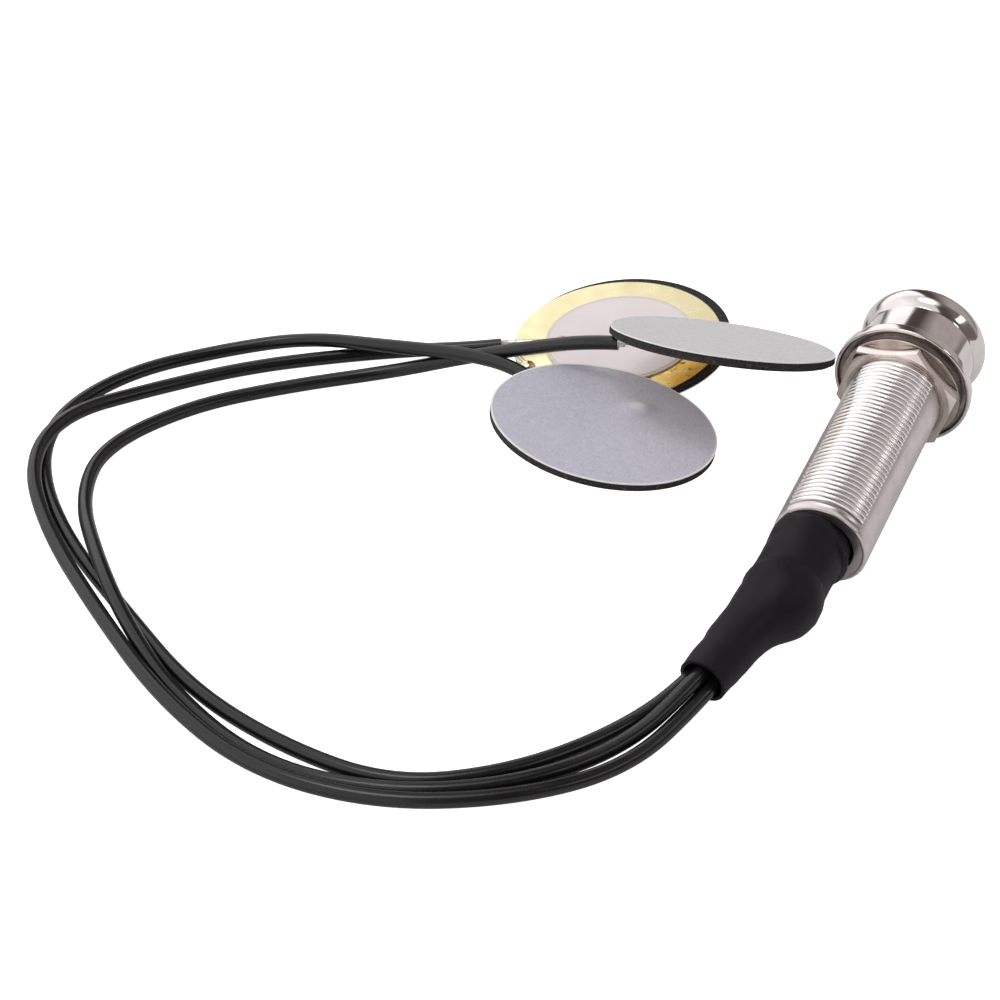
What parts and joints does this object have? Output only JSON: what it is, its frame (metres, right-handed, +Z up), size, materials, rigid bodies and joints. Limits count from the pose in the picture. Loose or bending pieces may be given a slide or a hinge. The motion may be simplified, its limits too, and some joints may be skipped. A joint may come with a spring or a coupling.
{
  "type": "piezo contact pickup with endpin jack",
  "caption": "Stick-on piezo disc pickups on thin shielded leads, joined in a heat-shrink sleeve to a threaded strap-button output jack.",
  "frame": {"origin": "middle of the strap button's seating face, on the jack's axis and inside the plug bore's wall", "axes": "+Z up from the flat surface that the pickup lies on, +Y along its longest side without the leads; the jack's axis bears 65.4 degrees from +X and rises about 5 degrees"},
  "size_m": [0.1171, 0.0981, 0.0194],
  "materials": {
    "nickel": "polished nickel plate",
    "insulator": "fibre",
    "contact": "bright",
    "shrink": "satin",
    "jacket": "semi-gloss",
    "tinned_wire": "tinned copper",
    "solder": "bright",
    "brass": "satin",
    "ceramic": "matte",
    "silver": "matte",
    "foam": "matte",
    "liner": "satin"
  },
  "bodies": {
    "root": {"back_brass_plate": "brass", "back_ceramic": "ceramic", "back_core_solder": "solder", "back_core_wire": "tinned_wire", "back_foam_pad": "foam", "back_lead": "jacket", "back_release_liner": "liner", "back_shield_solder": "solder", "back_shield_wire": "tinned_wire", "back_silver_face": "silver", "flat_washer": "nickel", "front_brass_plate": "brass", "front_ceramic": "ceramic", "front_core_solder": "solder", "front_core_wire": "tinned_wire", "front_foam_pad": "foam", "front_lead": "jacket", "front_release_liner": "liner", "front_shield_solder": "solder", "front_shield_wire": "tinned_wire", "front_silver_face": "silver", "ground_lug": "contact", "heat_shrink": "shrink", "hex_nut": "nickel", "jack_barrel": "nickel", "lock_washer": "nickel", "rear_insulator": "insulator", "right_brass_plate": "brass", "right_ceramic": "ceramic", "right_core_solder": "solder", "right_core_wire": "tinned_wire", "right_foam_pad": "foam", "right_lead": "jacket", "right_release_liner": "liner", "right_shield_solder": "solder", "right_shield_wire": "tinned_wire", "right_silver_face": "silver", "strap_button": "nickel", "tip_contact": "contact"}
  },
  "joints": []
}
